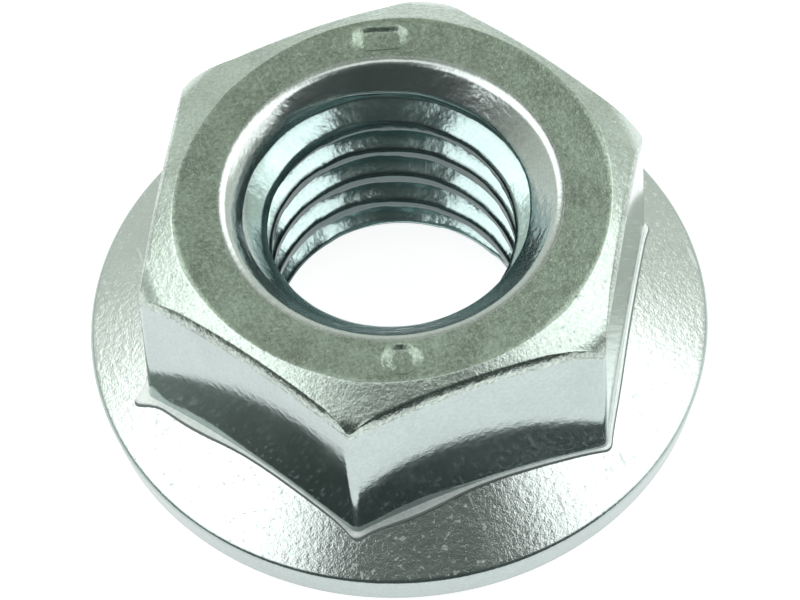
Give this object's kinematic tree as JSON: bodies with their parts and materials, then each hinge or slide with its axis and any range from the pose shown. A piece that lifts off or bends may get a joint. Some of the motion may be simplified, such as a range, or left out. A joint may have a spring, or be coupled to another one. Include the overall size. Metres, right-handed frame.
{
  "type": "serrated flange nut",
  "caption": "Hexagon nut with a conical flange, countersunk threaded bore and ratchet serrations under the flange that resist loosening.",
  "frame": {"origin": "on the thread axis, in the plane of the serration tips, which is the plane it clamps and stands on", "axes": "+Z along the thread axis from the flange to the hexagon's top; +X through one corner of the hexagon"},
  "size_m": [0.0174, 0.0174, 0.0076],
  "materials": {
    "zinc_steel": "bright zinc plate over cold-formed steel, finely speckled"
  },
  "bodies": {
    "root": {"flange_nut": "zinc_steel"}
  },
  "joints": []
}
